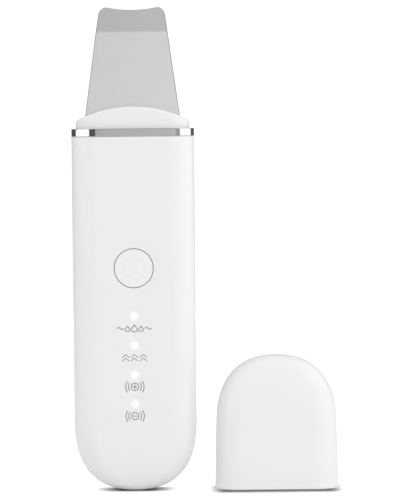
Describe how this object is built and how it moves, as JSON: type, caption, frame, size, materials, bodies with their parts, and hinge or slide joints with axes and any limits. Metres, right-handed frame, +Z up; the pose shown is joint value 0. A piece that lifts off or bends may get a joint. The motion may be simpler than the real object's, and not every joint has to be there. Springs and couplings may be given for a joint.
{
  "type": "skin scrubber",
  "caption": "Slim upright facial skin scrubber with a bent steel spatula, chrome band, round power button and indicator lights, standing beside its loose cap.",
  "frame": {"origin": "middle of the whole set's footprint, on the surface that the handle and the cap stand on", "axes": "+Z up along the handle towards the spatula's tip, +X from the handle to the cap, -Y the way the power button faces"},
  "size_m": [0.0956, 0.0182, 0.1749],
  "materials": {
    "shell_white": "satin white moulded ABS",
    "button_white": "satin white moulded ABS, embossed power sign",
    "chrome_band": "bright plated band",
    "blade_steel": "fine satin stainless sheet",
    "silicone_grey": "soft matt silicone",
    "clear_guide": "clear polycarbonate light pipe",
    "frame_grey": "dark glass-filled nylon",
    "board_green": "solder-masked glass fibre board",
    "part_black": "black moulded component",
    "led_yellow": "white light-emitting chip",
    "piezo_cream": "silvered piezo ceramic",
    "coil_copper": "enamelled copper winding and ferrite",
    "cell_silver": "aluminium-laminate pouch",
    "foam_black": "closed-cell foam tape",
    "lead_red": "silicone insulation",
    "lead_black": "silicone insulation",
    "zinc_steel": "zinc-plated steel"
  },
  "bodies": {
    "handle": {"front_cover": "shell_white", "rear_cover": "shell_white", "chrome_ring": "chrome_band", "head_collar": "shell_white", "blade_gasket": "silicone_grey", "scrub_blade": "blade_steel", "piezo_disc": "piezo_cream", "blade_sleeve": "silicone_grey", "blade_clamp": "frame_grey", "inner_frame": "frame_grey", "main_board": "board_green", "tact_switch": "part_black", "light_guide": "clear_guide", "control_chip": "part_black", "charge_chip": "part_black", "drive_transformer": "coil_copper", "ring_contact": "zinc_steel", "charge_port": "zinc_steel", "battery": "cell_silver", "battery_pad": "foam_black", "led_1": "led_yellow", "led_2": "led_yellow", "led_3": "led_yellow", "led_4": "led_yellow", "frame_screw_1": "zinc_steel", "frame_screw_2": "zinc_steel", "frame_screw_3": "zinc_steel", "frame_screw_4": "zinc_steel", "clamp_screw_1": "zinc_steel", "clamp_screw_2": "zinc_steel", "battery_lead_red": "lead_red", "battery_lead_black": "lead_black", "piezo_lead_red": "lead_red", "piezo_lead_black": "lead_black"},
    "button": {"power_button": "button_white"},
    "plunger": {"switch_plunger": "part_black"},
    "cap": {"protective_cap": "shell_white"}
  },
  "joints": [
    {"name": "button_press", "type": "slide", "parent": "handle", "child": "button", "axis": [0, 1, 0], "range_m": [0, 0.0005], "stiffness_N_per_m": 1500},
    {"name": "switch_press", "type": "slide", "parent": "handle", "child": "plunger", "axis": [0, 1, 0], "range_m": [0, 0.0004]},
    {"name": "cap_lift", "type": "slide", "parent": "handle", "child": "cap", "axis": [0, 0, 1], "range_m": [0, 0.045]}
  ],
  "couplings": [
    {"joint": "switch_press", "follows": "button_press", "ratio": 0.5}
  ]
}
